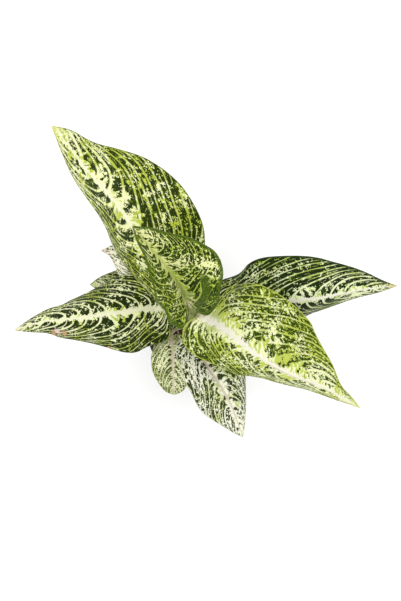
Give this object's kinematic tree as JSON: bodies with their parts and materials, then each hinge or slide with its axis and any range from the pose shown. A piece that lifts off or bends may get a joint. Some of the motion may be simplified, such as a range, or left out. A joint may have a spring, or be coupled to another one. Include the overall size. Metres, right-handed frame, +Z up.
{
  "type": "potted chinese evergreen",
  "caption": "Young variegated Aglaonema with broad pointed leaves on a short cane, in a plain round nursery pot.",
  "frame": {"origin": "centre of the pot's flat underside", "axes": "+Z up along the pot's axis, +X to the right and +Y to the top of the plant seen from above"},
  "size_m": [0.3505, 0.2772, 0.2973],
  "materials": {
    "pot": "satin moulded charcoal plastic",
    "soil": "moist fibrous potting mix",
    "cane": "smooth pale green stem with ring scars",
    "leaf_youngest": "satin leaf, mid green with cream flecks",
    "leaf_front_right": "satin leaf, yellow green with white midrib",
    "leaf_back_left": "satin leaf, green with pale veins and cream midrib",
    "leaf_left": "satin leaf, dark green and cream",
    "leaf_right": "satin leaf, dark green with white veins",
    "leaf_front_pale": "satin leaf, whitish with dark flecks",
    "leaf_front_small": "satin leaf, cream and green",
    "leaf_low_back": "satin leaf, cream with a brown tip",
    "leaf_low_left": "satin leaf, dark green"
  },
  "bodies": {
    "root": {"pot": "pot", "soil": "soil", "cane": "cane", "leaf_youngest": "leaf_youngest", "leaf_front_right": "leaf_front_right", "leaf_back_left": "leaf_back_left", "leaf_left": "leaf_left", "leaf_right": "leaf_right", "leaf_front_pale": "leaf_front_pale", "leaf_front_small": "leaf_front_small", "leaf_low_back": "leaf_low_back", "leaf_low_left": "leaf_low_left"}
  },
  "joints": []
}
